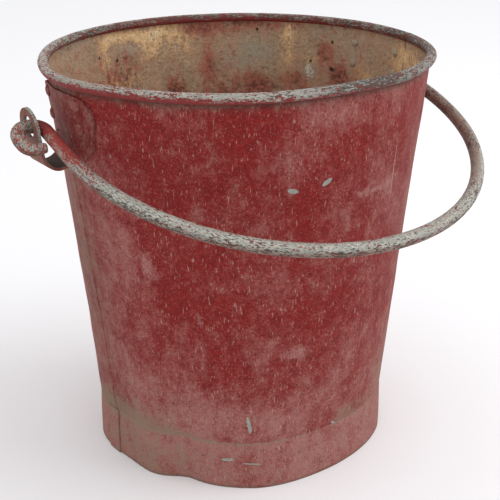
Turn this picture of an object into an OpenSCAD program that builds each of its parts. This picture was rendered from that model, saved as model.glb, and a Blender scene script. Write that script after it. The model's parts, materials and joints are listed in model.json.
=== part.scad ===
// Rolled-rim sheet-steel bucket with a foot hoop, two folded ears and a swinging rod bail.
// Millimetres. +Z is up, the floor is z = 0 and the bucket's axis is the Z axis.
// The bail's hinge line runs along X. The bail is drawn where it stands, forward and down.

/* [Body] */
// Overall height, floor to the top of the rolled rim
body_h = 315; // [240:1:400]
// Diameter over the rolled rim
rim_d = 300; // [240:1:380]
// Outside diameter of the wall at its lower edge, inside the hoop
low_d = 224; // [180:1:260]
// Height of the wall's lower edge above the floor
low_z = 12; // [8:1:18]
// Thickness of the wall and bottom sheet
sheet_t = 0.9; // [0.6:0.1:1.5]
// Width of the wall's lap seam, under the left ear
seam_w = 12; // [8:1:20]
// Width of the fine groove where the outer sheet ends at the seam
seam_gap = 0.6; // [0.3:0.1:1.2]

/* [Rim] */
// Diameter of the wire inside the rolled rim
wire_d = 6; // [4:0.5:8]
// How far the wire's centre stands outside the wall's outer face
wire_offset = 0.6; // [0:0.1:1.5]
// Angle left open between the end of the roll and the wall
roll_gap_deg = 12; // [6:1:30]

/* [Foot] */
// Height of the foot hoop
hoop_h = 39; // [30:1:55]
// Thickness of the hoop's strip
hoop_t = 1.3; // [0.8:0.1:2]
// Width of the hoop's overlapping end
hoop_lap_w = 15; // [8:1:25]
// Direction of the lap's visible edge, around the axis
hoop_lap_az = 187.6; // [180:0.1:200]
// Height of the bottom's upper face above the floor
bottom_z = 23; // [20:1:28]
// Bend radius between the bottom and its flange
bottom_bend_r = 4; // [2:0.5:6]

/* [Ears] */
// Thickness of the ear sheet
ear_t = 2.3; // [1.5:0.1:3]
// Widest width of the riveted plate
ear_w = 84; // [70:1:100]
// Distance from the top of the rim to the plate's upper edge
ear_drop = 12; // [10:1:16]
// Radius of the plate's upper corners
ear_corner_r = 15; // [10:1:20]
// Height of the plate, upper edge to lower edge
ear_h = 50; // [45:1:56]
// Width of the plate's lower edge
ear_low_w = 46; // [36:1:60]
// Height of the sloping corners beside the lower edge
ear_slope_h = 12; // [8:1:16]
// Width of the strip that is bent out and up as the tab
tab_w = 28; // [24:1:34]
// Clear gap between the plate and the tab
tab_gap = 24.6; // [22:0.2:30]
// Distance from the hinge line down to the middle of the bend
bend_drop = 16; // [15:0.5:30]

/* [Rivets] */
// Diameter of the rivet shank
rivet_d = 4.6; // [3:0.1:5]
// Diameter of the rivet's outer head
rivet_head_d = 8.6; // [7:0.1:10]
// Height of the rivet's outer head
rivet_head_h = 2.2; // [1.5:0.1:3]
// Height of the closed head inside the bucket
rivet_tail_h = 1.8; // [1:0.1:2.5]
// Distance between the two columns of rivets
rivet_col = 48; // [40:1:54]
// Distance between the two rows of rivets
rivet_row = 17; // [14:1:20]
// Distance from the plate's upper edge to the upper row
rivet_edge = 6.5; // [6:0.5:9]

/* [Bail] */
// Diameter of the bail's rod
rod_d = 10; // [8:0.5:12]
// Distance from the top of the rim down to the hinge line
hinge_drop = 36; // [32:0.5:42]
// How far the hinge line lies behind the bucket's axis
hinge_back = 5; // [0:0.5:8]
// Length of the bail's straight legs, from the hinge line
leg_l = 46.5; // [35:0.5:70]
// Bend radius of the rod on each side of the ear's hole, at its middle
hook_bend_r = 9.5; // [8.5:0.5:12]
// Straight length of the rod along the hinge line, where it passes through the ear
hook_pass = 2; // [1:0.5:6]
// Depth to which the rod is worn there
hook_wear = 0.1; // [0.05:0.05:0.5]
// Bend radius where the hook turns back in, at its middle
hook_close_r = 8; // [6:0.5:9]
// Angle of the bail from upright when it stands against its stop
rest_angle = 107.2; // [100:0.1:120]
// Angle by which the hook is twisted further down than the leg
hook_twist = 13; // [8:0.5:20]

/* [Fits] */
// Gap between pieces that are set into or round each other
fit_gap = 0.05; // [0.02:0.01:0.1]
// Radial gap between a rivet shank and its holes
rivet_gap = 0.05; // [0.02:0.01:0.2]
// Gap under the closed rivet head, for the curve of the wall
tail_gap = 0.2; // [0.1:0.05:0.4]
// How much wider the ear's hole is than the bail's rod
hole_play = 5; // [3:0.5:7]
// Gap between the ear's outer face and the seat of a rivet's head
head_gap = 0.05; // [0.02:0.01:0.2]
// Gap between the bail's leg and the ear's tab at the hinge line
leg_gap = 2; // [1.5:0.1:4]
// Gap between the hook and the edge of the tab where it stops
stop_gap = 0.3; // [0.2:0.1:1]

/* [Hidden] */
$fn = 96;

paint = "#86302c";
zinc = "#a3a196";
dull_zinc = "#7f7768";
rod_r = rod_d / 2;

// Rolled rim: the middle of its wire
roll_r = wire_d / 2 + sheet_t;
rim_z = body_h - roll_r;
wire_ring_r = rim_d / 2 - roll_r;

// Wall: its outer face is a cone, wall_r(z) is its radius
top_r = wire_ring_r - wire_offset;
low_r = low_d / 2;
lean = atan((top_r - low_r) / (rim_z - low_z));
sheet_x = sheet_t / cos(lean);
ear_x = ear_t / cos(lean);
function wall_r(z) = low_r + (z - low_z) * tan(lean);
function deg_for(w, r) = w / r * 180 / PI;

// A worked-out length to a hundredth of a millimetre, so that lengths of rod meet end to end
function cent(x) = round(x * 100) / 100;

// Hinge line of the bail, and the ears built round it
hinge_z = body_h - hinge_drop;
ear_top_z = body_h - ear_drop;
tab_face = ear_t + tab_gap;
bend_r = tab_gap / 2;
hole_d = rod_d + hole_play;
hole_rise = (tab_face + ear_t / 2) * tan(lean);
seam_az = 180 - asin(hinge_back / wall_r(hinge_z));

// Bail: its legs run just inside the tabs
bail_r = cent(wall_r(hinge_z) + tab_face / cos(lean) - leg_gap - rod_r);
hook_angle = rest_angle + hook_twist;
hook_reach = cent((tab_w / 2 + stop_gap + rod_r) / sin(hook_angle));
hook_end = rod_r + 0.5;
pin_lap = 0.5; // how far the worn stretch runs on inside the bends
pass_x = bail_r + hook_bend_r;
outer_x = pass_x + hook_pass + hook_bend_r;

// ---------------------------------------------------------------- body
// Sheet between heights z0 and z1, its outer face offset by off from the wall's
module cone_sheet(z0, z1, off, t) {
    polygon([
        [wall_r(z0) + off - t, z0], [wall_r(z0) + off, z0],
        [wall_r(z1) + off, z1], [wall_r(z1) + off - t, z1]
    ]);
}

// The edge of the sheet rolled outwards over the wire, open where it meets the wall
module roll_section() {
    gap_from = -90 - asin(wire_offset / roll_r);
    translate([wire_ring_r, rim_z]) difference() {
        circle(roll_r);
        circle(wire_d / 2);
        rotate(gap_from) polygon([
            [0, 0], [2 * roll_r, 0],
            2 * roll_r * [cos(roll_gap_deg), sin(roll_gap_deg)]
        ]);
    }
}

module body() {
    seam_deg = deg_for(seam_w, low_r);
    groove_deg = deg_for(seam_gap, low_r);
    seam_top_z = rim_z - 2 * roll_r;
    color(paint) difference() {
        union() {
            rotate_extrude() cone_sheet(low_z, rim_z - wire_d / 2, 0, sheet_x);
            rotate_extrude() roll_section();
            rotate([0, 0, seam_az]) rotate_extrude(angle = seam_deg)
                cone_sheet(bottom_z + fit_gap, seam_top_z, -sheet_x, sheet_x);
        }
        rotate([0, 0, seam_az]) rotate_extrude(angle = groove_deg)
            cone_sheet(low_z - 1, seam_top_z, sheet_x / 2, sheet_x);
        all_rivet_holes();
    }
}

module rim_wire() {
    color(zinc) translate([0, 0, rim_z]) rotate_extrude()
        translate([wire_ring_r, 0]) circle(wire_d / 2 - fit_gap);
}

// ---------------------------------------------------------------- foot
// Flat disc whose edge is turned down into the wall's lower end
module bottom() {
    edge_r = wall_r(low_z) - sheet_x - fit_gap;
    bend_z = bottom_z - bottom_bend_r;
    bend_x = edge_r - bottom_bend_r;
    color(dull_zinc) rotate_extrude() {
        translate([0, bottom_z - sheet_t]) square([bend_x, sheet_t]);
        translate([edge_r - sheet_t, low_z]) square([sheet_t, bend_z - low_z]);
        translate([bend_x, bend_z]) intersection() {
            difference() {
                circle(bottom_bend_r);
                circle(bottom_bend_r - sheet_t);
            }
            square(bottom_bend_r);
        }
    }
}

// Strip bent into a ring that grips the wall at its upper edge, one end lapped over the other
module foot_hoop() {
    hoop_r = wall_r(hoop_h) + fit_gap;
    lap_deg = deg_for(hoop_lap_w, hoop_r);
    color(paint) {
        rotate_extrude() translate([hoop_r, 0]) square([hoop_t, hoop_h]);
        rotate([0, 0, hoop_lap_az - lap_deg]) rotate_extrude(angle = lap_deg)
            translate([hoop_r + hoop_t / 2, 0]) square([hoop_t * 1.5, hoop_h]);
    }
}

// ---------------------------------------------------------------- rivets
// Column is -1 or 1, row is 0 for the upper and 1 for the lower
module at_rivet(column, row) {
    z = ear_top_z - rivet_edge - row * rivet_row;
    az = asin((hinge_back + column * rivet_col / 2) / wall_r(z));
    rotate([0, 0, az]) translate([wall_r(z), 0, z]) rotate([0, 90 + lean, 0]) children();
}

module rivet_hole() {
    translate([0, 0, -5]) cylinder(r = rivet_d / 2 + rivet_gap, h = 15);
}

module ear_rivet_holes() {
    for (column = [-1, 1], row = [0, 1]) at_rivet(column, row) rivet_hole();
}

module all_rivet_holes() {
    ear_rivet_holes();
    mirror([1, 0, 0]) ear_rivet_holes();
}

// Round head of diameter d and height h, its flat face at z = 0
module rivet_head(d, h) {
    dome_r = (d * d / 4 + h * h) / (2 * h);
    intersection() {
        translate([0, 0, h - dome_r]) sphere(dome_r);
        cylinder(r = d / 2, h = h + 1);
    }
}

// Rivets are numbered 1 to 4: upper front, lower front, upper back, lower back
module rivet(number) {
    column = number <= 2 ? -1 : 1;
    row = (number + 1) % 2;
    tail_z = -sheet_t - tail_gap;
    head_z = fit_gap + ear_t + head_gap;
    color(paint) at_rivet(column, row) {
        translate([0, 0, tail_z]) cylinder(r = rivet_d / 2, h = head_z - tail_z);
        translate([0, 0, head_z]) rivet_head(rivet_head_d, rivet_head_h);
        translate([0, 0, tail_z]) mirror([0, 0, 1]) rivet_head(rivet_head_d, rivet_tail_h);
    }
}

module rivet_left(number) {
    mirror([1, 0, 0]) rivet(number);
}

// ---------------------------------------------------------------- ears
// Outline of the riveted plate, y along the bucket's Y and z up from its upper edge
module plate_outline() {
    half_w = ear_w / 2;
    corner = half_w - ear_corner_r;
    slope_z = ear_slope_h - ear_h;
    side_w = half_w - 5;
    for (side = [-1, 1]) translate([side * corner, -ear_corner_r]) circle(ear_corner_r);
    translate([-corner, -ear_corner_r]) square([2 * corner, ear_corner_r]);
    polygon([
        [-half_w, -ear_corner_r], [half_w, -ear_corner_r], [side_w, slope_z],
        [ear_low_w / 2, -ear_h], [-ear_low_w / 2, -ear_h], [-side_w, slope_z]
    ]);
}

// Round-topped end of the strip, y across it and z up from the hinge line's height at the wall
module tab_outline() {
    difference() {
        union() {
            translate([0, hole_rise]) circle(tab_w / 2);
            translate([-tab_w / 2, -bend_drop]) square([tab_w, bend_drop + hole_rise]);
        }
        translate([0, hole_rise]) circle(hole_d / 2);
    }
}

// Half-round bend that carries the strip from the wall out to the tab
module bend_section() {
    difference() {
        circle(bend_r + ear_t);
        circle(bend_r);
        translate([-2 * tab_gap, 0]) square(4 * tab_gap);
    }
}

// One sheet: a plate curved to the wall, and a strip bent out and up into the tab
module ear() {
    difference() {
        union() {
            intersection() {
                rotate_extrude()
                    cone_sheet(ear_top_z - ear_h - 1, ear_top_z + 1, ear_x + fit_gap, ear_x);
                translate([0, hinge_back, ear_top_z]) rotate([90, 0, 90])
                    linear_extrude(rim_d) plate_outline();
            }
            translate([wall_r(hinge_z) + fit_gap, hinge_back, hinge_z]) rotate([0, lean, 0]) {
                translate([0, -tab_w / 2, -bend_drop]) cube([ear_t, tab_w, ear_t]);
                translate([tab_face, 0, 0]) rotate([90, 0, 90]) linear_extrude(ear_t) tab_outline();
                translate([ear_t + bend_r, 0, -bend_drop]) rotate([90, 0, 0])
                    linear_extrude(tab_w, center = true) bend_section();
            }
        }
        ear_rivet_holes();
    }
}

module ear_right() {
    color(paint) ear();
}

module ear_left() {
    color(paint) mirror([1, 0, 0]) ear();
}

// ---------------------------------------------------------------- bail
// Rod bent through deg degrees at radius r, from the +X side towards +Y
module rod_bend(r, deg) {
    rotate_extrude(angle = deg) translate([r, 0]) circle(rod_r);
}

// Straight rod of length h from the origin along +Y
module rod(h) {
    rotate([-90, 0, 0]) cylinder(r = rod_r, h = h);
}

// The right hook lies in the XY plane here: x along the hinge line, y towards the bail's crown.
// Its inner bend turns the leg out along the hinge line, and a worn stretch goes through the ear
module hook_inner() {
    translate([pass_x, hook_bend_r]) rotate(180) rod_bend(hook_bend_r, 90);
    translate([pass_x - pin_lap, 0]) rotate([0, 90, 0])
        cylinder(r = rod_r - hook_wear, h = hook_pass + 2 * pin_lap);
}

// Its outer part curls round the edge of the tab and ends just short of the leg
module hook_outer() {
    close_y = hook_reach - hook_close_r;
    translate([pass_x + hook_pass, hook_bend_r]) rotate(-90) rod_bend(hook_bend_r, 90);
    translate([outer_x, hook_bend_r]) rod(close_y - hook_bend_r);
    translate([outer_x - hook_close_r, close_y]) rod_bend(hook_close_r, 90);
    translate([bail_r + hook_end, hook_reach]) rotate(-90)
        rod(outer_x - hook_close_r - bail_r - hook_end);
}

module bail_side() {
    translate([bail_r, hook_bend_r]) rod(leg_l - hook_bend_r);
    hook_inner();
    rotate([hook_twist, 0, 0]) hook_outer();
}

module bail() {
    color(zinc) translate([0, hinge_back, hinge_z]) rotate([rest_angle + 90, 0, 0]) {
        translate([0, leg_l]) rod_bend(bail_r, 180);
        bail_side();
        mirror([1, 0, 0]) bail_side();
    }
}

body();
rim_wire();
bottom();
foot_hoop();
ear_left();
ear_right();
bail();
for (i = [1:4]) rivet_left(i);
for (i = [1:4]) rivet(i);
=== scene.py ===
"""A worn red sheet-steel bucket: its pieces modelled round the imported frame, and their finishes."""

import json
from math import asin, atan, atan2, cos, degrees, exp, hypot, radians, sin, sqrt, tan

import bpy
from mathutils import Matrix, Vector, noise


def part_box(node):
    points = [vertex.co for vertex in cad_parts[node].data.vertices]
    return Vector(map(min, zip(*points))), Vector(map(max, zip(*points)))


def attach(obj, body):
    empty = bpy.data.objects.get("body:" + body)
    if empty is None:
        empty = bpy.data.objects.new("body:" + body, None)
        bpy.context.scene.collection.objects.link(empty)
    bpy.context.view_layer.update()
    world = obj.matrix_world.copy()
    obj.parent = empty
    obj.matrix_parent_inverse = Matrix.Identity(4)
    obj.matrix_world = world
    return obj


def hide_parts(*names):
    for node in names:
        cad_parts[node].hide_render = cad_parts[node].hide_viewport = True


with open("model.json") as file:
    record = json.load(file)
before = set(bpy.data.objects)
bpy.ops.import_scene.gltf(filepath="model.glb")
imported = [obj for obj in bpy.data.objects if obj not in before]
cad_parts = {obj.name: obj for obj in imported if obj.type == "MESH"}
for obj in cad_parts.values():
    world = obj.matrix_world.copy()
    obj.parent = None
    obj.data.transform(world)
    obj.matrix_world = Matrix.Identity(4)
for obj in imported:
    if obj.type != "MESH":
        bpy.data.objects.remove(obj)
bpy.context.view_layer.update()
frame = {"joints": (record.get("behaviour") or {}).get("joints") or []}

MM = 0.001

# Sizes that the frame gives
RIM_R, _, TOP_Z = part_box("body")[1]
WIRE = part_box("rim_wire")
HOOP_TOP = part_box("foot_hoop")[1].z
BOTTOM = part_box("bottom")
HINGE = Vector(frame["joints"][0]["pos_m"])

# Sizes of the sheet metal
SHEET_T = 0.9 * MM
STRAP_T = 1.3 * MM
EAR_T = 2.3 * MM
ROLL_R = (WIRE[1].z - WIRE[0].z) / 2 + SHEET_T
RIM_Z = TOP_Z - ROLL_R
RING_R = RIM_R - ROLL_R
LOW_Z = BOTTOM[0].z
LOW_R = BOTTOM[1].x + SHEET_T
TOP_R = RING_R - 0.6 * MM
LEAN = atan((TOP_R - LOW_R) / (RIM_Z - LOW_Z))


def wall_r(z):
    """Radius of the wall's outer face at height z."""
    return LOW_R + (z - LOW_Z) * tan(LEAN)


FLAT_R = 140 * MM  # one radius for the whole wall when it is laid out flat: that of its upper part
SEAMS = (178, -14)  # where the wall's two sheets meet, in degrees round from the right ear


# ------------------------------------------------------------------ camera, floor and light
def make_camera():
    """The camera stands in front of the bucket, to the left, and looks down on it."""
    aim = bpy.data.cameras.new("camera")
    aim.lens = 84.57
    aim.sensor_width = 36
    camera = bpy.data.objects.new("camera", aim)
    bpy.context.scene.collection.objects.link(camera)
    camera.location = (-0.4898, -0.7418, 0.498)
    turn_right, tip_up, roll = radians(-33.44 - 0.60), radians(90 - 21.44), radians(-0.53)
    camera.matrix_world = (
        Matrix.Translation(camera.location)
        @ Matrix.Rotation(turn_right, 4, "Z")
        @ Matrix.Rotation(tip_up, 4, "X")
        @ Matrix.Rotation(roll, 4, "Z")
    )
    bpy.context.scene.camera = camera


def make_floor():
    """A pale floor with no visible edge."""
    deselect()
    bpy.ops.mesh.primitive_circle_add(vertices=96, radius=6, fill_type="NGON")
    floor = bpy.context.object
    floor.name = "floor"
    floor.data.materials.append(pale_floor())


def make_lights():
    """A large soft lamp above and to the right, a weaker one to the left, and a white sky."""
    for name, place, size, power, aim in (
        ("lamp_above", (1.1, -0.9, 1.7), 1.5, 15, (0, 0, 0.15)),
        ("lamp_left", (-1.9, -0.9, 0.9), 1.4, 1.5, (0, 0, 0.15)),
    ):
        data = bpy.data.lights.new(name, "AREA")
        data.size = size
        data.energy = power
        lamp = bpy.data.objects.new(name, data)
        bpy.context.scene.collection.objects.link(lamp)
        lamp.location = place
        lamp.rotation_euler = (Vector(aim) - Vector(place)).to_track_quat("-Z", "Y").to_euler()
    world = bpy.data.worlds.new("sky")
    bpy.context.scene.world = world
    world.use_nodes = True
    tree = world.node_tree
    tree.nodes.clear()
    rays = add(tree, "ShaderNodeLightPath")
    seen = rays.outputs["Is Camera Ray"]
    for ray in ("Is Glossy Ray", "Is Transmission Ray"):
        seen = add(tree, "ShaderNodeMath", [seen, rays.outputs[ray]], operation="MAXIMUM").outputs[0]
    strength = add(tree, "ShaderNodeMapRange", {"Value": seen, "To Min": 0.94, "To Max": 1.0})
    sky = add(tree, "ShaderNodeBackground", {"Color": (1, 1, 1, 1), "Strength": strength.outputs[0]})
    add(tree, "ShaderNodeOutputWorld", {"Surface": sky.outputs[0]})
    bpy.context.scene.view_settings.view_transform = "Standard"


# ------------------------------------------------------------------ nodes
def add(tree, kind, inputs=None, **settings):
    """Adds a node, with its settings, and fills its inputs with values or links."""
    node = tree.nodes.new(kind)
    for key, value in settings.items():
        setattr(node, key, value)
    given = enumerate(inputs) if isinstance(inputs, list) else (inputs or {}).items()
    for key, value in given:
        if isinstance(value, bpy.types.NodeSocket):
            tree.links.new(value, node.inputs[key])
        elif value is not None:
            node.inputs[key].default_value = value
    return node


def colour(code):
    """A colour written as sRGB hex, in linear light."""
    parts = [int(code[i:i + 2], 16) / 255 for i in (1, 3, 5)]
    return tuple(c / 12.92 if c <= 0.04045 else ((c + 0.055) / 1.055) ** 2.4 for c in parts) + (1,)


def new_material(name):
    """An empty material, with its node tree and its shader."""
    material = bpy.data.materials.new(name)
    material.use_nodes = True
    tree = material.node_tree
    tree.nodes.clear()
    shader = add(tree, "ShaderNodeBsdfPrincipled")
    add(tree, "ShaderNodeOutputMaterial", {"Surface": shader.outputs[0]})
    return material, tree, shader


def pale_floor():
    """Matt white painted board: it shows only the bucket's soft shadow."""
    material, _, shader = new_material("matt white board")
    shader.inputs["Base Color"].default_value = colour("#f6f6f8")
    shader.inputs["Roughness"].default_value = 0.9
    shader.inputs["Specular IOR Level"].default_value = 0.1
    return material


# ------------------------------------------------------------------ patterns
def blotches(tree, place, size, seed, low=0.3, high=0.7, detail=3):
    """Blotches of a real size in mm, from 0 to 1."""
    cloud = add(
        tree, "ShaderNodeTexNoise",
        {"Vector": place, "Scale": 1 / (size * MM), "Detail": detail, "Roughness": 0.6, "W": seed},
        noise_dimensions="4D",
    )
    level = {"Value": cloud.outputs[0], "From Min": low, "From Max": high}
    return add(tree, "ShaderNodeMapRange", level).outputs[0]


def patches(tree, parts, low, high):
    """Where a weighted sum of patterns rises above a level: 0 below low, 1 above high."""
    total = 0.0
    for part, weight in parts:
        total = add(tree, "ShaderNodeMath", [part, weight, total], operation="MULTIPLY_ADD").outputs[0]
    level = {"Value": total, "From Min": low, "From Max": high}
    return add(tree, "ShaderNodeMapRange", level, interpolation_type="SMOOTHSTEP").outputs[0]


def layered(tree, base, layers):
    """Colours laid one over another, each where its mask says, and thinned if a share is given."""
    for mask, over, *share in layers:
        over = colour(over) if isinstance(over, str) else over
        if share:
            mask = add(tree, "ShaderNodeMath", [mask, share[0]], operation="MULTIPLY").outputs[0]
        base = add(tree, "ShaderNodeMix", {0: mask, 6: base, 7: over}, data_type="RGBA").outputs[2]
    return base


def around(az):
    """How far round the wall a direction lies from the left ear, in metres."""
    return radians(az % 360 - 180) * FLAT_R


def unrolled(tree, place):
    """The wall laid out flat: across is the way round it, from the left ear, and up is the height."""
    half_turn = add(tree, "ShaderNodeVectorMath", [place, (-1, -1, 1)], operation="MULTIPLY").outputs[0]
    x, y, z = add(tree, "ShaderNodeSeparateXYZ", [half_turn]).outputs
    turn = add(tree, "ShaderNodeMath", [y, x], operation="ARCTAN2").outputs[0]
    across = add(tree, "ShaderNodeMath", [turn, FLAT_R], operation="MULTIPLY").outputs[0]
    return add(tree, "ShaderNodeCombineXYZ", [across, z]).outputs[0]


def strokes(tree, flat, ragged, marks, soft=0.3):
    """Long ovals on the wall, each from one direction and height to another, with a width in mm.

    The distances to an oval's two ends add up to the same all along its edge."""
    nearest = 99.0
    for az1, z1, az2, z2, width in marks:
        start, end = (around(az1), z1 * MM, 0), (around(az2), z2 * MM, 0)
        apart = (Vector(end) - Vector(start)).length
        scale = 1 / (hypot(apart, 1.1 * width * MM) - apart)
        level = -scale * apart
        for place in (start, end):
            away = add(tree, "ShaderNodeVectorMath", [flat, place], operation="DISTANCE").outputs["Value"]
            level = add(tree, "ShaderNodeMath", [away, scale, level], operation="MULTIPLY_ADD").outputs[0]
        nearest = add(tree, "ShaderNodeMath", [level, nearest], operation="MINIMUM").outputs[0]
    nearest = add(tree, "ShaderNodeMath", [nearest], operation="SQRT").outputs[0]
    return patches(tree, [(nearest, -1.0), (ragged, 0.7)], -0.75 - soft, -0.75 + soft)


def amount(tree, name):
    """How much of a named amount is painted on the piece here: a kind of wear, and for some names painted
    shade.
    """
    return add(tree, "ShaderNodeAttribute", attribute_name=name).outputs["Fac"]


def streaky(tree, place):
    """The object's space squeezed in height, so that a pattern is drawn out down the wall."""
    return add(tree, "ShaderNodeMapping", {"Vector": place, "Scale": (1, 1, 0.22)}).outputs[0]


def lengthwise(tree, place, centre, across, up, radius):
    """Space squeezed along a hoop, so that a pattern is drawn out along the rod it is bent from.

    The hoop lies in the plane of two directions, round its centre."""
    off = add(tree, "ShaderNodeVectorMath", [place, centre], operation="SUBTRACT").outputs[0]
    a, b, c = [
        add(tree, "ShaderNodeVectorMath", [off, axis], operation="DOT_PRODUCT").outputs["Value"]
        for axis in (across, up, across.cross(up))
    ]
    turn = add(tree, "ShaderNodeMath", [a, b], operation="ARCTAN2").outputs[0]
    along = add(tree, "ShaderNodeMath", [turn, radius * 0.3], operation="MULTIPLY").outputs[0]
    flat = add(tree, "ShaderNodeCombineXYZ", [a, b]).outputs[0]
    out = add(tree, "ShaderNodeVectorMath", [flat], operation="LENGTH").outputs["Value"]
    return add(tree, "ShaderNodeCombineXYZ", [along, out, c]).outputs[0]


# ------------------------------------------------------------------ finishes
# The few marks that stand out: direction in degrees and height in mm, twice, and width in mm
ZINC_CHIPS = (
    (-98, 244, -95, 248, 3), (-109, 244, -106, 242, 3), (-121, 62, -120, 48, 3),
    (-86, 41, -84, 39, 2), (-131, 24, -126, 25, 2), (-123, 22, -116, 21, 1),
)
PALE_SCRATCHES = ((-68, 265, -68, 215, 1),)
SMEARS = (
    (-85, 232, -74, 230, 5), (-137, 150, -136, 138, 5), (-154, 188, -150, 172, 12),
    (-108, 112, -100, 110, 10),
)
INNER_PITS = (
    (21, 295, 21, 294, 2), (21, 272, 20, 271, 3), (58, 240, 58, 239, 2), (102, 285, 102, 284, 2),
    (110, 290, 110, 289, 2), (49, 302, 49, 301, 2), (29, 277, 29, 276, 2),
)


def red_paint():
    """Red oil paint brushed on galvanised sheet, chalked by weather and scuffed by years of use.

    It gives a matt dark red under a pinkish dusty bloom, grained at about 1 mm, with grey-green zinc
    in the chips and brown dirt where it stays damp."""
    material, tree, shader = new_material("chalked red oil paint")
    place = add(tree, "ShaderNodeTexCoord").outputs["Object"]
    down, flat = streaky(tree, place), unrolled(tree, place)
    clouds, middle = blotches(tree, place, 42, 1), blotches(tree, place, 9, 2)
    grain, fine = blotches(tree, place, 2.1, 3), blotches(tree, place, 1.1, 4, detail=1)
    runs = blotches(tree, down, 6, 5)
    dust, dirt, bare = amount(tree, "dust"), amount(tree, "dirt"), amount(tree, "bare")
    chips = strokes(tree, flat, grain, ZINC_CHIPS, 0.2)
    worn = patches(tree, [(bare, 1.0), (middle, 0.35), (grain, 0.4), (fine, 0.3)], 1.0, 1.12)
    chips = add(tree, "ShaderNodeMath", [chips, worn], operation="MAXIMUM").outputs[0]
    bloom = patches(
        tree, [(dust, 1.0), (clouds, 0.5), (middle, 0.3), (grain, 0.28), (fine, 0.25), (runs, 0.25)],
        0.74, 1.75,
    )
    pale = patches(tree, [(blotches(tree, place, 1.0, 6, detail=1), 1.0), (dust, 0.12)], 0.76, 1.0)
    dark = patches(tree, [(blotches(tree, place, 1.7, 7, detail=1), 1.0)], 0.78, 0.95)
    nicks = patches(tree, [(blotches(tree, down, 1.3, 8, detail=1), 1.0)], 0.88, 1.0)
    scuffed = strokes(tree, flat, grain, PALE_SCRATCHES, 0.25)
    smears = patches(
        tree, [(strokes(tree, flat, middle, SMEARS, 1.1), 1.0), (middle, 0.6), (grain, 0.5), (fine, 0.4)],
        0.95, 2.2,
    )
    grime = patches(tree, [(dirt, 1.0), (middle, 0.4), (grain, 0.35), (runs, 0.2)], 0.55, 1.25)
    zinc = layered(tree, colour("#848f87"), [(fine, "#9fa59b")])
    lighter = patches(tree, [(grain, 1.0)], 0.4, 0.9)
    red = layered(tree, colour("#6d1412"), [(middle, "#7c1816"), (lighter, "#861e1b")])
    bloomed = layered(tree, red, [
        (bloom, "#a2736c", 0.85),
        (dark, "#431817", 0.5),
        (pale, "#c7a59c", 0.2),
        (nicks, "#bd9a90", 0.4),
        (smears, "#b28c85", 0.38),
    ])
    shown = layered(tree, bloomed, [
        (grime, "#80705e", 0.75),
        # Darkest layer: painted shade under the roll, in the troughs of the ears' bends and along the
        # foot's lower edge
        (amount(tree, "soot"), "#352b25"),
        (scuffed, "#bd9a90", 0.48),
        (chips, zinc, 0.85),
    ])
    tree.links.new(shown, shader.inputs["Base Color"])
    rough = patches(tree, [(bloom, 0.3), (grain, 0.12)], -0.9, 0.7)
    tree.links.new(rough, shader.inputs["Roughness"])
    shader.inputs["Specular IOR Level"].default_value = 0.18
    film = patches(
        tree, [(chips, -1.0), (scuffed, -0.25), (grain, 0.2), (middle, 0.3), (fine, 0.12)], -1.0, 1.0
    )
    bump = add(tree, "ShaderNodeBump", {"Strength": 0.8, "Distance": 0.35 * MM, "Height": film})
    tree.links.new(bump.outputs[0], shader.inputs["Normal"])
    return material


def rubbed_zinc(name, centre, across, up, radius):
    """Hot-dip zinc that hands and knocks have rubbed, under what is left of the red paint.

    It is whitish grey with dark flecks drawn out along the rod, and red in the hollows."""
    material, tree, shader = new_material(name)
    place = add(tree, "ShaderNodeTexCoord").outputs["Object"]
    drawn = lengthwise(tree, place, centre, across, up, radius)
    clouds, middle = blotches(tree, place, 30, 11), blotches(tree, drawn, 2.6, 12)
    grain, fine = blotches(tree, drawn, 1.0, 13, 0.32, 0.68), blotches(tree, place, 0.8, 14, 0.32, 0.68, 1)
    flecks = blotches(tree, drawn, 0.8, 15, 0.32, 0.68, 2)
    paint, brown, dark = amount(tree, "paint"), amount(tree, "brown"), amount(tree, "dark")
    red = patches(tree, [(paint, 1.0), (middle, 0.35), (grain, 0.45), (fine, 0.35)], 1.0, 1.15)
    # On the rod, brown and dark also carry painted shade on its underside, so these two masks are partly
    # painted shade
    stain_and_painted_shade = patches(tree, [(brown, 1.0), (middle, 0.3), (grain, 0.35), (fine, 0.2)], 0.6, 1.4)
    pits_and_painted_shade = patches(tree, [(dark, 0.6), (flecks, 0.8), (middle, 0.35), (clouds, 0.3)], 0.96, 1.22)
    zinc = layered(tree, colour("#8b8b82"), [
        (patches(tree, [(middle, 0.6), (grain, 0.6), (clouds, 0.3)], 0.45, 0.95), "#bcbaaf"),
        (patches(tree, [(fine, 0.6), (grain, 0.4), (middle, 0.5)], 0.66, 1.1), "#dfdcd1"),
        # Grey-dark tint: tarnish, and on the rod's underside painted shade
        (patches(tree, [(dark, 1.0), (middle, 0.5), (fine, 0.4)], 0.6, 1.4), "#6d6f68"),
    ])
    lively = add(tree, "ShaderNodeMath", [amount(tree, "fresh"), grain], operation="MULTIPLY").outputs[0]
    shown = layered(tree, zinc, [
        (stain_and_painted_shade, layered(tree, colour("#75594c"), [(grain, "#98806f")])),
        (pits_and_painted_shade, "#34312c", 0.92),
        (red, layered(tree, colour("#651918"), [(fine, "#8c2c28"), (lively, "#b03c2c")])),
    ])
    tree.links.new(shown, shader.inputs["Base Color"])
    shader.inputs["Metallic"].default_value = 0.1
    rough = patches(tree, [(grain, 0.15), (red, 0.1), (pits_and_painted_shade, 0.2)], -0.9, 0.9)
    tree.links.new(rough, shader.inputs["Roughness"])
    film = patches(tree, [(red, 0.5), (pits_and_painted_shade, -0.6), (grain, 0.3), (middle, 0.4)], -1, 1.3)
    bump = add(tree, "ShaderNodeBump", {"Strength": 0.9, "Distance": 0.45 * MM, "Height": film})
    tree.links.new(bump.outputs[0], shader.inputs["Normal"])
    return material


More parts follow.
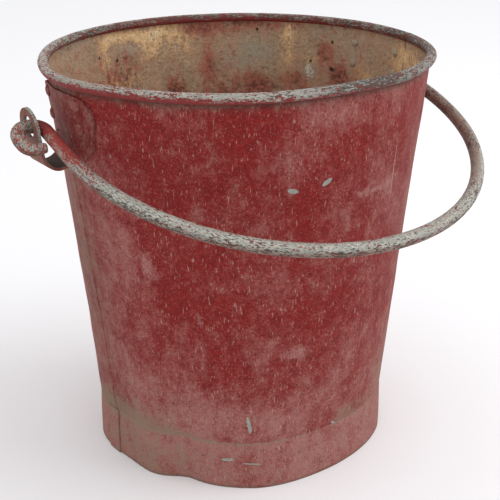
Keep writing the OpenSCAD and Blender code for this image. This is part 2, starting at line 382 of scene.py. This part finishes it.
def stained_zinc():
    """The bare galvanised inside, stained by what was carried: khaki and ochre films in runs,
    brick-red rust blooming through, and black pits where the zinc is gone."""
    material, tree, shader = new_material("stained galvanised steel")
    place = add(tree, "ShaderNodeTexCoord").outputs["Object"]
    down, flat = streaky(tree, place), unrolled(tree, place)
    clouds, middle = blotches(tree, place, 34, 21), blotches(tree, place, 8, 22)
    grain, fine = blotches(tree, place, 2.4, 23), blotches(tree, place, 1.2, 24, detail=1)
    runs, threads = blotches(tree, down, 9, 25), blotches(tree, down, 2.2, 26)
    mottle = blotches(tree, place, 3.5, 27, 0.35, 0.65, 2)
    ochre, rust, grey = amount(tree, "ochre"), amount(tree, "rust"), amount(tree, "grey")
    lighter = patches(tree, [(grain, 1.0)], 0.3, 1.0)
    base = layered(tree, colour("#967a62"), [(runs, "#b0937a"), (lighter, "#bba489")])
    shown = layered(tree, base, [
        (patches(tree, [(grey, 0.7), (clouds, 0.5), (middle, 0.6), (grain, 0.3)], 0.75, 1.5), "#a09683"),
        (patches(tree, [(rust, 0.6), (runs, 0.6), (middle, 0.5), (grain, 0.5)], 0.9, 1.5), "#a56555"),
        (patches(tree, [(ochre, 0.6), (threads, 0.6), (middle, 0.5), (grain, 0.5)], 0.98, 1.55), "#d9ad7b"),
        (patches(tree, [(ochre, 0.5), (threads, 0.5), (fine, 0.5), (middle, 0.3)], 1.1, 1.45), "#e6cda6"),
        (patches(tree, [(threads, 0.5), (grain, 0.6), (middle, 0.5)], 0.85, 1.5), "#5f4a3a"),
        (patches(tree, [(mottle, 0.7), (fine, 0.4), (rust, 0.5), (clouds, 0.4)], 0.95, 2.0), "#57382e"),
        (patches(tree, [(amount(tree, "lime"), 1.0), (grain, 0.7), (fine, 0.5)], 1.35, 1.55), "#c9c3b8"),
        (strokes(tree, flat, grain, INNER_PITS, 0.4), "#352c25"),
        (amount(tree, "shade"), "#4b4239"),
    ])
    tree.links.new(shown, shader.inputs["Base Color"])
    shader.inputs["Specular IOR Level"].default_value = 0.2
    tree.links.new(patches(tree, [(grain, 0.3), (ochre, 0.2)], -1.4, 0.9), shader.inputs["Roughness"])
    film = patches(tree, [(grain, 0.4), (middle, 0.5), (fine, 0.15)], 0, 1.1)
    bump = add(tree, "ShaderNodeBump", {"Strength": 0.9, "Distance": 0.8 * MM, "Height": film})
    tree.links.new(bump.outputs[0], shader.inputs["Normal"])
    return material


# ------------------------------------------------------------------ helpers for modelling
def deselect():
    """Nothing selected, in object mode."""
    if bpy.context.object and bpy.context.object.mode == "EDIT":
        bpy.ops.object.mode_set(mode="OBJECT")
    bpy.ops.object.select_all(action="DESELECT")


def choose(piece):
    """Only this piece is selected and active."""
    deselect()
    piece.select_set(True)
    bpy.context.view_layer.objects.active = piece


def finish(piece, name, *modifiers):
    """Applies the modifiers, each a type and its settings, and names the piece."""
    choose(piece)
    piece.name = piece.data.name = name
    for kind, settings in modifiers:
        modifier = piece.modifiers.new(kind.lower(), kind)
        for key, value in settings.items():
            setattr(modifier, key, value)
        bpy.ops.object.modifier_apply(modifier=modifier.name)
    bpy.ops.object.transform_apply()
    bpy.ops.object.shade_smooth_by_angle(angle=radians(38))
    return piece


def turned(outline, start=0, sweep=360, steps=288, outwards=True):
    """An outline of (radius, height) points, drawn by extruding a point and spun round the Z axis.

    Its faces look away from the axis on the whole, or towards it."""
    deselect()
    (r, z), *rest = outline
    bpy.ops.mesh.primitive_plane_add(size=0.001, enter_editmode=True, location=(0, 0, 0))
    bpy.ops.mesh.merge(type="CENTER")
    bpy.ops.transform.translate(value=(r, 0, z))
    for r1, z1 in rest:
        bpy.ops.mesh.extrude_region_move(TRANSFORM_OT_translate={"value": (r1 - r, 0, z1 - z)})
        r, z = r1, z1
    bpy.ops.mesh.select_all(action="SELECT")
    if start:
        bpy.ops.transform.rotate(
            value=-radians(start), orient_axis="Z", center_override=(0, 0, 0)
        )
    bpy.ops.mesh.spin(
        steps=steps, angle=radians(sweep), center=(0, 0, 0), axis=(0, 0, 1)
    )
    bpy.ops.mesh.select_all(action="SELECT")
    bpy.ops.mesh.remove_doubles(threshold=0.00002)
    bpy.ops.mesh.normals_make_consistent(inside=False)
    bpy.ops.object.mode_set(mode="OBJECT")
    piece = bpy.context.object
    away = sum(face.area * (face.normal.x * face.center.x + face.normal.y * face.center.y)
               for face in piece.data.polygons)
    if (away > 0) != outwards:
        piece.data.flip_normals()
    return piece


def arc(x, z, r, start, end, steps):
    """Points on an arc about (x, z), from start to end in degrees."""
    turn = [radians(start + (end - start) * i / steps) for i in range(steps + 1)]
    return [(x + r * cos(a), z + r * sin(a)) for a in turn]


def rows(a, b, count):
    """Evenly spaced points from a to b, without b."""
    return [
        (a[0] + (b[0] - a[0]) * i / count, a[1] + (b[1] - a[1]) * i / count)
        for i in range(count)
    ]


# ------------------------------------------------------------------ wear in the shape
def near(angle, centre, width):
    """1 at the centre angle, falling softly to 0 about a width away, all in degrees."""
    off = (angle - centre + 180) % 360 - 180
    return exp(-((off / width) ** 2))


# Where years of knocks have pushed the sheet metal in or out of round: direction and spread in
# degrees, height and spread in mm, and the push outwards in mm
KNOCKS = (
    (-173, 15, 330, 110, 4.2),
    (-91, 19, 330, 95, -5.0),
    (150, 17, 268, 45, -3.2),
    (-36, 14, 285, 60, 1.5),
    (-38, 22, 120, 130, 1.9),
    (-117, 17, 0, 75, 5.2),
    (-146, 7.5, 0, 60, -5.0),
    (-159, 9, 0, 60, 3.3),
    (163, 15, 0, 70, 3.6),
    (-45, 18, 0, 60, 1.8),
)


def settled(point):
    """Where a point of the round bucket lies on the worn one, which is out of round and dented."""
    x, y, z = point
    r, az = hypot(x, y), degrees(atan2(y, x))
    push = 0.45 * noise.noise(Vector((x, y, z)) / (55 * MM)) + 0.3 * noise.noise(point / (21 * MM))
    for direction, width, height, spread, out in KNOCKS:
        push += out * near(az, direction, width) * exp(-((z / MM - height) / spread) ** 2)
    reach = wall_r(z)
    share = r / reach if r < reach else max(0, min(1, 1 - (r - reach - 3 * MM) / (20 * MM)))
    return Vector((x, y, z)) + Vector((x, y, 0)) / max(r, 1e-6) * push * MM * share


def settle(piece):
    """Gives the piece the worn bucket's shape."""
    for vertex in piece.data.vertices:
        vertex.co = settled(vertex.co)
    return piece


def spot(az, z):
    """A point on the round wall's outer face, at an angle in degrees and a height in mm."""
    r = wall_r(z * MM)
    return Vector((r * cos(radians(az)), r * sin(radians(az)), z * MM))


# ------------------------------------------------------------------ wall, wire, hoop, bottom
def lapped(point):
    """The wall is two sheets, and at each seam the end of one lies over the other."""
    x, y, z = point
    r, az = hypot(x, y), degrees(atan2(y, x))
    for seam in SEAMS:
        off = (az - seam + 180) % 360 - 180
        if abs(off) < 1.3:
            off = 0.12 if off > 0 else -0.12
            az = seam + off
        if -45 < off < 0:
            r += 0.8 * MM * exp(off / 14)
    return Vector((r * cos(radians(az)), r * sin(radians(az)), z))


def make_wall(finishes):
    """The leaning wall, and its upper edge rolled outwards over the wire.

    The finishes are the inside's, the outside's and the rolled edge's."""
    inner = SHEET_T / cos(LEAN)
    tuck = sqrt(ROLL_R**2 - (RING_R - TOP_R + inner) ** 2)
    start = (wall_r(LOW_Z) - inner, LOW_Z)
    neck = (wall_r(RIM_Z - tuck - 1.6 * MM) - inner, RIM_Z - tuck - 1.6 * MM)
    outline = rows(start, neck, 88) + [neck]
    outline += arc(RING_R, RIM_Z, ROLL_R, 228, -80, 30)
    wall = turned(outline, steps=300, outwards=False)
    for finish_of_part in finishes:
        wall.data.materials.append(finish_of_part)
    for face in wall.data.polygons:
        away = hypot(hypot(face.center.x, face.center.y) - RING_R, face.center.z - RIM_Z)
        face.material_index = 2 if away < ROLL_R + 0.3 * MM else 0
    for vertex in wall.data.vertices:
        vertex.co = lapped(vertex.co)
    return finish(
        settle(wall), "wall",
        ("SOLIDIFY", {"thickness": SHEET_T, "offset": -1, "material_offset": 1, "use_even_offset": True}),
    )


def make_wire():
    """The wire inside the rolled rim."""
    middle = (WIRE[0] + WIRE[1]) / 2
    r = (WIRE[1].z - WIRE[0].z) / 2
    wire = turned(arc(WIRE[1].x - r, middle.z, r, 0, 360, 12))
    return finish(settle(wire), "wire_in_rim")


def make_hoop():
    """Strip bent into a ring round the foot, with one end lapped over the other."""
    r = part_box("foot_hoop")[1].y - STRAP_T
    hoop = turned(rows((r, HOOP_TOP), (r, 0), 13) + [(r, 0)])
    lap = turned(
        rows((r + STRAP_T, HOOP_TOP - 0.4 * MM), (r + STRAP_T, 0), 13) + [(r + STRAP_T, 0.2 * MM)],
        start=180.1, sweep=7.5, steps=8,
    )
    pieces = []
    for part, name in ((hoop, "hoop"), (lap, "lap")):
        pieces.append(finish(
            settle(part), name,
            ("SOLIDIFY", {"thickness": STRAP_T, "offset": -1, "use_even_offset": True}),
            ("BEVEL", {"width": 0.45 * MM, "segments": 2, "angle_limit": radians(50)}),
        ))
    choose(pieces[0])
    pieces[1].select_set(True)
    bpy.ops.object.join()
    return finish(pieces[0], "hoop_strip")


def make_bottom():
    """Flat disc whose edge is turned down inside the wall, sagged a little in its middle."""
    r, top, bend = BOTTOM[1].x, BOTTOM[1].z, 4 * MM
    sag = [(0.0001 * MM, top - 1.2 * MM)] + [
        (x * MM, top - (1.2 - 1.2 * (x / 105) ** 2) * MM) for x in range(6, 106, 5)
    ]
    outline = sag + arc(r - bend, top - bend, bend, 90, 0, 5) + rows((r, top - bend), (r, LOW_Z), 3)[1:]
    outline += [(r, LOW_Z)]
    bottom = turned(outline, steps=192)
    return finish(
        settle(bottom), "bottom_disc",
        ("SOLIDIFY", {"thickness": SHEET_T, "offset": -1, "use_even_offset": True}),
    )


# ------------------------------------------------------------------ ears and rivets
# The plate's outline, from its upper edge down: height and half width in mm
PLATE = (
    (303, 27), (302.7, 29.9), (301.8, 33), (300, 36), (297, 38.9), (293, 41), (288, 42), (283, 41),
    (278, 40), (271, 38.4), (265, 37), (261, 32.4), (257, 27.7), (253, 23),
)
RIVETS = [(across, z) for across in (-27, 24) for z in (296.5, 279.5)]  # across and up, in mm
TAB_HALF = 14 * MM
BEND_R = 13.45 * MM  # to the middle of the sheet


def drawn_sheet(line, across):
    """A sheet drawn row by row, each row's x, z and half width along Y, by extruding an edge."""
    deselect()
    (x, z, half), *rest = line
    bpy.ops.mesh.primitive_plane_add(size=0.001, enter_editmode=True, location=(0, 0, 0))
    bpy.ops.mesh.merge(type="CENTER")
    bpy.ops.transform.translate(value=(x, -half, z))
    for _ in range(across):
        bpy.ops.mesh.extrude_region_move(TRANSFORM_OT_translate={"value": (0, 2 * half / across, 0)})
    bpy.ops.mesh.select_all(action="SELECT")
    for x1, z1, half1 in rest:
        bpy.ops.mesh.extrude_region_move(TRANSFORM_OT_translate={"value": (x1 - x, 0, z1 - z)})
        bpy.ops.transform.resize(value=(1, half1 / half, 1), center_override=(0, 0, 0))
        x, z, half = x1, z1, half1
    bpy.ops.mesh.select_all(action="SELECT")
    bpy.ops.transform.translate(value=(0, HINGE.y, 0))
    bpy.ops.mesh.normals_make_consistent(inside=False)
    bpy.ops.object.mode_set(mode="OBJECT")
    return bpy.context.object


def make_plate():
    """The riveted plate, curved to the wall and dished a little round each rivet."""
    plate = drawn_sheet([(wall_r(z * MM), z * MM, half * MM) for z, half in PLATE], 30)
    for vertex in plate.data.vertices:
        _, y, z = vertex.co
        dish = sum(
            exp(-(((y - HINGE.y) / MM - ry) ** 2 + (z / MM - rz) ** 2) / 40) for ry, rz in RIVETS
        )
        r = wall_r(z) + EAR_T / 2 + (0.1 - 0.6 * dish) * MM
        vertex.co.x = sqrt(r * r - y * y)
    return finish(plate, "plate", ("SOLIDIFY", {"thickness": EAR_T, "offset": 0}))


def make_strip():
    """The strip that leaves the plate's foot, bends out and stands up as the tab."""
    middle = EAR_T / 2
    gap = 2 * BEND_R
    line = [(middle + 0.1 * MM, -9 * MM, TAB_HALF), (middle, -12 * MM, TAB_HALF)]
    line += [(x, z, TAB_HALF) for x, z in arc(middle + BEND_R, -15.3 * MM, BEND_R, 180, 360, 20)]
    line += [(middle + gap, z * MM, TAB_HALF) for z in (-12, -8, -4, 0)]
    line += [
        (middle + gap, (3.14 + 14 * sin(radians(turn))) * MM, TAB_HALF * cos(radians(turn)))
        for turn in (0, 12, 24, 36, 47, 57, 66, 74, 81, 87)
    ]
    x0 = wall_r(HINGE.z)
    leaning = [
        (x0 + x * cos(LEAN) + z * sin(LEAN), HINGE.z - x * sin(LEAN) + z * cos(LEAN), half)
        for x, z, half in line
    ]
    return finish(drawn_sheet(leaning, 14), "strip", ("SOLIDIFY", {"thickness": EAR_T, "offset": 0}))


def make_ears():
    """Plate and strip are one sheet, with a worn hole for the rod; the left ear is a mirrored copy."""
    plate, strip = make_plate(), make_strip()
    deselect()
    bpy.ops.mesh.primitive_cylinder_add(
        vertices=40, radius=7.5 * MM, depth=12 * MM, rotation=(0, radians(90), 0),
        location=(wall_r(HINGE.z) + 2 * BEND_R, HINGE.y, HINGE.z + 0.3 * MM),
    )
    drill = bpy.context.object
    drill.scale.x = 1.08
    right = finish(
        plate, "ear_of_right_side",
        ("BOOLEAN", {"operation": "UNION", "solver": "EXACT", "object": strip}),
        ("BOOLEAN", {"operation": "DIFFERENCE", "solver": "EXACT", "object": drill}),
        ("BEVEL", {"width": 0.55 * MM, "segments": 3, "angle_limit": radians(50)}),
    )
    for used in (strip, drill):
        bpy.data.objects.remove(used)
    left = right.copy()
    left.data = right.data.copy()
    bpy.context.scene.collection.objects.link(left)
    left.scale.x = -1
    finish(left, "ear_of_left_side")
    bpy.ops.object.mode_set(mode="EDIT")
    bpy.ops.mesh.select_all(action="SELECT")
    bpy.ops.mesh.flip_normals()
    bpy.ops.object.mode_set(mode="OBJECT")
    return [settle(left), settle(right)]


def make_rivets():
    """Domed heads on the plates and hammered tails inside: one rivet, and seven copies."""
    tail = [(0.0001 * MM, -2.6 * MM), (1.4 * MM, -2.5 * MM), (2.6 * MM, -2 * MM), (3.3 * MM, -1.3 * MM)]
    shank = [(3.4 * MM, -0.85 * MM), (2.3 * MM, -0.8 * MM), (2.3 * MM, 2 * MM), (4.25 * MM, 2.05 * MM)]
    head = [(4.3 * MM, 2.4 * MM), (4.0 * MM, 3.1 * MM), (3.2 * MM, 3.75 * MM), (2.0 * MM, 4.2 * MM)]
    first = turned(tail + shank + head + [(0.8 * MM, 4.35 * MM), (0.0001 * MM, 4.4 * MM)], steps=28)
    rivets = []
    for side, name in ((1, "right"), (-1, "left")):
        for number, (across, z) in enumerate(RIVETS, 1):
            rivet = first.copy()
            rivet.data = first.data.copy()
            bpy.context.scene.collection.objects.link(rivet)
            y = HINGE.y + across * MM
            az = asin(y / wall_r(z * MM))
            az = az if side > 0 else radians(180) - az
            rivet.rotation_euler = (0, radians(90) + LEAN, az)
            rivet.location = spot(degrees(az), z)
            rivets.append(settle(finish(rivet, f"rivet_{name}_side_{number}")))
    bpy.data.objects.remove(first)
    return rivets


# ------------------------------------------------------------------ bail
def bend(centre, axis, turn, steps):
    """Carries the selected ring on round a bend; the spin turns clockwise about its axis."""
    bpy.ops.mesh.spin(steps=steps, angle=-radians(turn), center=centre, axis=axis)


def straight(step, count=1):
    """Carries the selected ring straight on, in equal steps."""
    for _ in range(count):
        bpy.ops.mesh.extrude_region_move(TRANSFORM_OT_translate={"value": Vector(step) / count})


BOW_R, LEG = 161.97 * MM, 46.5 * MM  # the bow's radius, and the leg between it and the hinge
REST_TURN = 107.2 + 90  # the bow's turn round the hinge at rest, in degrees from straight back


def slimmer(size, centre):
    """Shrinks the selected ring about its centre, where the hook has been hammered thinner."""
    bpy.ops.transform.resize(value=(size, size, size), center_override=centre)


def make_bail():
    """A bent rod. Each leg turns out through its ear, and curls round the tab to close the hook."""
    rod_r, bow, leg = 5 * MM, BOW_R, LEG
    turn_r, through, close_r, reach = 9.5 * MM, 2 * MM, 8 * MM, 22.33 * MM
    twist = radians(13)
    along = Vector((0, cos(twist), sin(twist)))
    across = Vector((0, -sin(twist), cos(twist)))
    deselect()
    bpy.ops.mesh.primitive_circle_add(
        vertices=24, radius=rod_r, rotation=(0, radians(90), 0), location=(0, leg + bow, 0),
        enter_editmode=True,
    )
    bend((0, leg, 0), (0, 0, 1), -90, 64)
    straight((0, turn_r - leg, 0), 9)
    bend((bow + turn_r, turn_r, 0), (0, 0, 1), 90, 12)
    straight((through, 0, 0), 2)
    outer = bow + turn_r + through
    bend(Vector((outer, 0, 0)) + along * turn_r, across, 90, 12)
    outer += turn_r
    straight(along * (reach - close_r - turn_r), 3)
    slimmer(0.92, Vector((outer, 0, 0)) + along * (reach - close_r))
    bend(Vector((outer - close_r, 0, 0)) + along * (reach - close_r), across, 90, 12)
    slimmer(0.9, Vector((outer - close_r, 0, 0)) + along * reach)
    straight((bow + 10 * MM + close_r - outer, 0, 0), 3)
    tip = Vector((bow + 10 * MM, 0, 0)) + along * reach
    for size, step in ((0.96, 1.5), (0.93, 1.6), (0.92, 1.6), (0.86, 0.7), (0.6, 0.5)):
        straight((-step * MM, 0, 0))
        slimmer(size, tip)
    bpy.ops.mesh.edge_face_add()
    bpy.ops.mesh.select_all(action="SELECT")
    bpy.ops.mesh.remove_doubles(threshold=0.00001)
    bpy.ops.mesh.normals_make_consistent(inside=False)
    bpy.ops.object.mode_set(mode="OBJECT")
    rod = bpy.context.object
    bpy.ops.object.transform_apply()
    finish(rod, "bail_rod", ("MIRROR", {"merge_threshold": 0.05 * MM}))
    for vertex in rod.data.vertices:
        vertex.co.z += 0.5 * MM * noise.noise(vertex.co / (70 * MM))
    rod.rotation_euler.x = radians(REST_TURN)
    rod.location = (0, HINGE.y, HINGE.z)
    return finish(rod, "bail_rod")


# ------------------------------------------------------------------ where the wear lies
# Soft spots: direction and spread in degrees, height and spread in mm, and how much
DUSTY = (
    (-166, 10, 80, 35, 0.28),
    (170, 16, 150, 190, 0.42), (-166, 9, 205, 60, 0.24), (-158, 8, 165, 35, 0.28),
    (-174, 16, 250, 30, 0.15), (-150, 26, 55, 50, 0.3), (-110, 50, 45, 30, 0.4),
    (-40, 14, 170, 220, 0.4), (-82, 26, 296, 16, 0.18), (-112, 10, 262, 45, 0.1),
    (-95, 10, 250, 40, 0.16), (-70, 16, 240, 60, 0.1), (-95, 26, 88, 40, 0.26),
    (-72, 14, 200, 120, 0.12), (-116, 6, 120, 20, 0.2), (-143, 8, 112, 16, 0.2),
    (-55, 14, 60, 60, 0.25), (-130, 14, 178, 14, 0.1), (60, 50, 80, 80, 0.45), (105, 30, 250, 70, 0.3),
    (10, 30, 150, 60, 0.3), (70, 90, 180, 140, 0.15),
)
DIRTY = (
    (-165, 25, 18, 22, 0.8),
    (-50, 12, 62, 34, 0.42), (-76, 9, 45, 7, 0.5), (170, 15, 190, 150, 0.42), (178, 26, 42, 10, 0.6),
    (-160, 22, 60, 20, 0.25), (30, 40, 50, 26, 0.55), (110, 30, 46, 20, 0.5),
)
OCHRE = (
    (104, 5, 303, 7, 0.8), (97, 6, 303, 5, 0.9), (90, 5, 299, 8, 0.8), (83, 5, 303, 9, 1),
    (75, 5, 294, 12, 0.8), (88, 6, 288, 10, 0.7), (107, 3, 288, 16, 0.7), (38, 3, 300, 9, 0.9),
    (38, 3, 280, 14, 0.7), (-14, 7, 294, 14, 1), (-24, 5, 297, 9, 0.7), (99, 8, 262, 12, 0.6),
    (29, 3, 279, 6, 0.6), (5, 5, 270, 12, 0.6), (150, 30, 200, 60, 0.5), (-90, 50, 230, 60, 0.5),
)
RUSTY = (
    (104, 8, 268, 12, 0.8),
    (70, 6, 302, 8, 0.9), (66, 3, 271, 14, 0.9), (80, 3, 254, 9, 0.9), (24, 3.5, 286, 10, 1),
    (18, 4, 271, 10, 1), (49, 6, 254, 9, 1), (34, 4, 260, 8, 0.9), (52, 22, 305, 7, 0.8),
    (97, 6, 282, 9, 0.6), (16, 5, 262, 8, 0.9), (60, 60, 235, 18, 0.8), (-120, 40, 120, 70, 0.5),
    (20, 40, 60, 40, 0.8),
)
GREYED = (
    (50, 9, 284, 12, 0.9), (56, 6, 272, 10, 0.7), (11, 6, 289, 12, 0.7), (29, 4, 267, 8, 0.8),
    (124, 8, 309, 9, 0.6), (97, 5, 291, 5, 0.8), (22, 9, 301, 9, 0.5), (-170, 40, 280, 40, 0.5),
)


def spread(co, spots):
    """Soft spots of wear on the bucket, added up at a point."""
    az, z = degrees(atan2(co.y, co.x)), co.z / MM
    return sum(
        much * near(az, at, wide) * exp(-(((z - height) / tall) ** 2))
        for at, wide, height, tall, much in spots
    )


def ramp(value, start, end):
    """0 at the start and 1 at the end, clipped outside them."""
    return max(0.0, min(1.0, (value - start) / (end - start)))


def wear(piece, **rules):
    """Paints each kind of wear, and the painted shade, on the piece, by a rule of the point and its normal.
    """
    for name, rule in rules.items():
        values = [max(0.0, rule(vertex.co, vertex.normal)) for vertex in piece.data.vertices]
        piece.data.attributes.new(name, "FLOAT", "POINT").data.foreach_set("value", values)


def wear_wall(wall):
    """Outside: bloom, dirt and the dark line of painted shadow under the roll. Roll: red left in its lower
    half, most of it near the left ear. Inside: ochre, rust and grey films."""
    def paint_left(co, normal):
        az, low = degrees(atan2(co.y, co.x)), (RIM_Z - co.z) / ROLL_R
        kept = max(near(az, 190, 48), 0.55 * near(az, 60, 60))
        return 0.36 + kept * (0.5 * ramp(low, -0.45, 0.3) + 0.08) + 0.3 * ramp(low, 0.3, 0.9)

    def far_side(co, normal):
        inwards = -(co.x * normal.x + co.y * normal.y) / max(1e-6, hypot(co.x, co.y))
        back = near(degrees(atan2(co.y, co.x)), 60, 75)
        return back * (0.25 + 0.75 * ramp(inwards, 0.0, 0.8))

    wear(
        wall,
        dust=lambda co, n: 0.06 + spread(co, DUSTY) + 0.12 * ramp(co.z / MM, 298, 306),
        dirt=lambda co, n: spread(co, DIRTY) + 0.35 * ramp(co.z / MM, 300, 306)
        + 0.28 * ramp(co.z / MM, 42.5, 40),
        # Painted shadow just under the roll, and a little darkening on the left band
        soot=lambda co, n: 0.55 * ramp(co.z / MM, 302, 306.5) + spread(co, ((176, 14, 160, 120, 0.2),)),
        paint=paint_left,
        brown=lambda co, n: 0.75 * far_side(co, n) + 0.42 * near(degrees(atan2(co.y, co.x)), -30, 32),
        dark=lambda co, n: 0.32 + 0.5 * far_side(co, n) + 0.4 * near(degrees(atan2(co.y, co.x)), -82, 24)
        + 0.35 * near(degrees(atan2(co.y, co.x)), -25, 30),
        ochre=lambda co, n: 0.12 + spread(co, OCHRE),
        rust=lambda co, n: 0.22 + spread(co, RUSTY),
        grey=lambda co, n: 0.1 + spread(co, GREYED),
        lime=lambda co, n: spread(co, ((29.5, 3.5, 268, 9, 0.9), (-60, 20, 150, 30, 0.5))),
        shade=lambda co, n: 0.35 * ramp(co.z / MM, 120, 30) + 0.08 * ramp(co.z / MM, 304, 308),
    )


def wear_hoop(hoop):
    """Dustier than the wall, with a line of dirt packed in behind its upper edge, and dirt with a painted
    contact shadow darkening its bottom edge.
    """
    def packed(co, normal):
        left = near(degrees(atan2(co.y, co.x)), -170, 45)
        return spread(co, DIRTY) * 0.4 + (0.45 + 0.5 * left) * ramp(co.z / MM, 38.0 - 1.2 * left, 38.9)

    wear(
        hoop,
        dust=lambda co, n: 0.62 + 0.25 * spread(co, DUSTY),
        dirt=lambda co, n: 0.16 + packed(co, n) + 0.4 * ramp(co.z / MM, 3, 0),
        # Painted contact shadow along the bottom edge
        soot=lambda co, n: 0.4 * ramp(co.z / MM, 1.5, 0),
        bare=lambda co, n: 0.1,
    )


def wear_ear(ear):
    """Dull and greasy, rubbed at the sheet's edges, with old dirt and painted shade darkening the trough of
    the bend.
    """
    def off_face(co, normal):
        if abs(co.x) > 150 * MM and co.z > 264 * MM:
            return hypot(normal.y, normal.z + 0.11 * (1 if normal.x * co.x > 0 else -1))
        return abs(normal.y) if abs(co.x) > 148 * MM else 0.5 * ramp(abs(normal.z), 0.5, 0.9)

    # The trough inside the bend, darkened by its old dirt and by painted shade
    def trough(co, normal):
        inside = ramp(normal.z, 0.0, 0.5) * ramp(co.z / MM, 262, 256)
        return inside if 142 * MM < abs(co.x) < 168 * MM else 0.0

    wear(
        ear,
        dust=lambda co, n: 0.2 + 0.25 * ramp(abs(co.x) / MM, 158, 168)
        + 0.3 * ramp(abs(co.y - HINGE.y) / MM, 34, 41),
        # In the trough, the dirt and the darkest layer are old dirt with painted shade inside the bend
        dirt=lambda co, n: 0.18 + 0.9 * trough(co, n) + 0.25 * ramp(abs(co.x) / MM, 158, 168),
        soot=lambda co, n: 0.18 + 0.6 * trough(co, n),
        bare=lambda co, n: 0.5 * ramp(off_face(co, n), 0.55, 0.95) * ramp(co.z / MM, 264, 270)
        + 0.15 * ramp(off_face(co, n), 0.6, 0.95),
    )


def wear_rod(rod):
    """Zinc on top, darkened below by painted shade; fresh red by the left ear, flecks of it on, then brown
    at the back, partly stain and partly painted shade on the side turned from the lamp.
    """
    left_hinge = Vector((-BOW_R, HINGE.y, HINGE.z))

    def from_ear(co):
        return (co - left_hinge).length / MM

    def paint_left(co, normal):
        x = co.x / MM
        hidden = ramp(normal.dot(Vector((0, 0.55, 0.83))), 0.35, 0.95)
        by_ear = 0.36 * ramp(from_ear(co), 90, 34) + 0.3 * ramp(from_ear(co), 20, 8)
        on_hook = ramp(x, -164, -170)
        return 0.31 + by_ear * (1 - on_hook) + 0.1 * on_hook + 0.15 * ramp(x, 90, -20) * hidden

    wear(
        rod,
        paint=paint_left,
        fresh=lambda co, n: 0.9 * ramp(from_ear(co), 80, 30) * ramp(from_ear(co), 8, 22),
        # Brown: painted shade on the underside, and on the bow's right half a stain with painted shade on
        # the side turned from the lamp
        brown=lambda co, n: 0.85 * ramp(n.z, 0.35, -0.4)
        + 0.85 * ramp(co.x / MM, 40, 130) * ramp(n.x - n.y, 1.1, 0.2),
        # Dark: pits all over, with painted shade added on the underside
        dark=lambda co, n: 0.34 + 0.3 * ramp(n.z, 0.5, -0.5) + 0.05 * ramp(from_ear(co), 60, 20),
    )


# ------------------------------------------------------------------ scene
make_camera()
make_floor()
make_lights()
red, inside = red_paint(), stained_zinc()
rim_zinc = rubbed_zinc(
    "rubbed hot-dip zinc of the rim", Vector((0, 0, RIM_Z)), Vector((1, 0, 0)), Vector((0, 1, 0)), RING_R
)
bow_turn = radians(REST_TURN)
bow_up = Vector((0, cos(bow_turn), sin(bow_turn)))
rod_zinc = rubbed_zinc(
    "rubbed hot-dip zinc of the rod", HINGE + LEG * bow_up, Vector((1, 0, 0)), bow_up, BOW_R
)
wall = make_wall((inside, red, rim_zinc))
wire = make_wire()
hoop = make_hoop()
bottom = make_bottom()
ear_left, ear_right = make_ears()
rivets = make_rivets()
rod = make_bail()

wear_wall(wall)
wear_hoop(hoop)
wear_ear(ear_left)
wear_ear(ear_right)
wear_rod(rod)
wear(bottom, rust=lambda co, n: 0.8, ochre=lambda co, n: 0.5, grey=lambda co, n: 0.2,
     shade=lambda co, n: 0.3 * ramp(hypot(co.x, co.y) / MM, 95, 106))
for rivet in rivets:
    rivet.data.materials.append(red)
    rivet.data.materials.append(inside)
    for face in rivet.data.polygons:
        face.material_index = int(hypot(face.center.x, face.center.y) < wall_r(face.center.z) - SHEET_T)
    wear(
        rivet,
        grey=lambda co, n: 0.8,
        dust=lambda co, n: 0.42,
        dirt=lambda co, n: 0.15,
        soot=lambda co, n: 0.1,
        bare=lambda co, n: 0.1,
    )
for piece, material in [(wire, rim_zinc), (rod, rod_zinc), (bottom, inside)] + [
    (piece, red) for piece in (hoop, ear_left, ear_right)
]:
    piece.data.materials.append(material)

# Each piece's CAD node and finish in the record; a rivet's node has its name without "_side"
STANDS_FOR = {
    "wall": ("body", "painted_steel"),
    "wire_in_rim": ("rim_wire", "galvanised_steel"),
    "hoop_strip": ("foot_hoop", "painted_steel"),
    "bottom_disc": ("bottom", "galvanised_steel"),
    "ear_of_left_side": ("ear_left", "painted_steel"),
    "ear_of_right_side": ("ear_right", "painted_steel"),
    "bail_rod": ("bail", "galvanised_rod"),
}
for piece in [wall, wire, hoop, bottom, ear_left, ear_right, rod] + rivets:
    node, slot = STANDS_FOR.get(piece.name, (piece.name.replace("_side", ""), "painted_steel"))
    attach(piece, "bail" if piece == rod else "bucket")
    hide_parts(node)
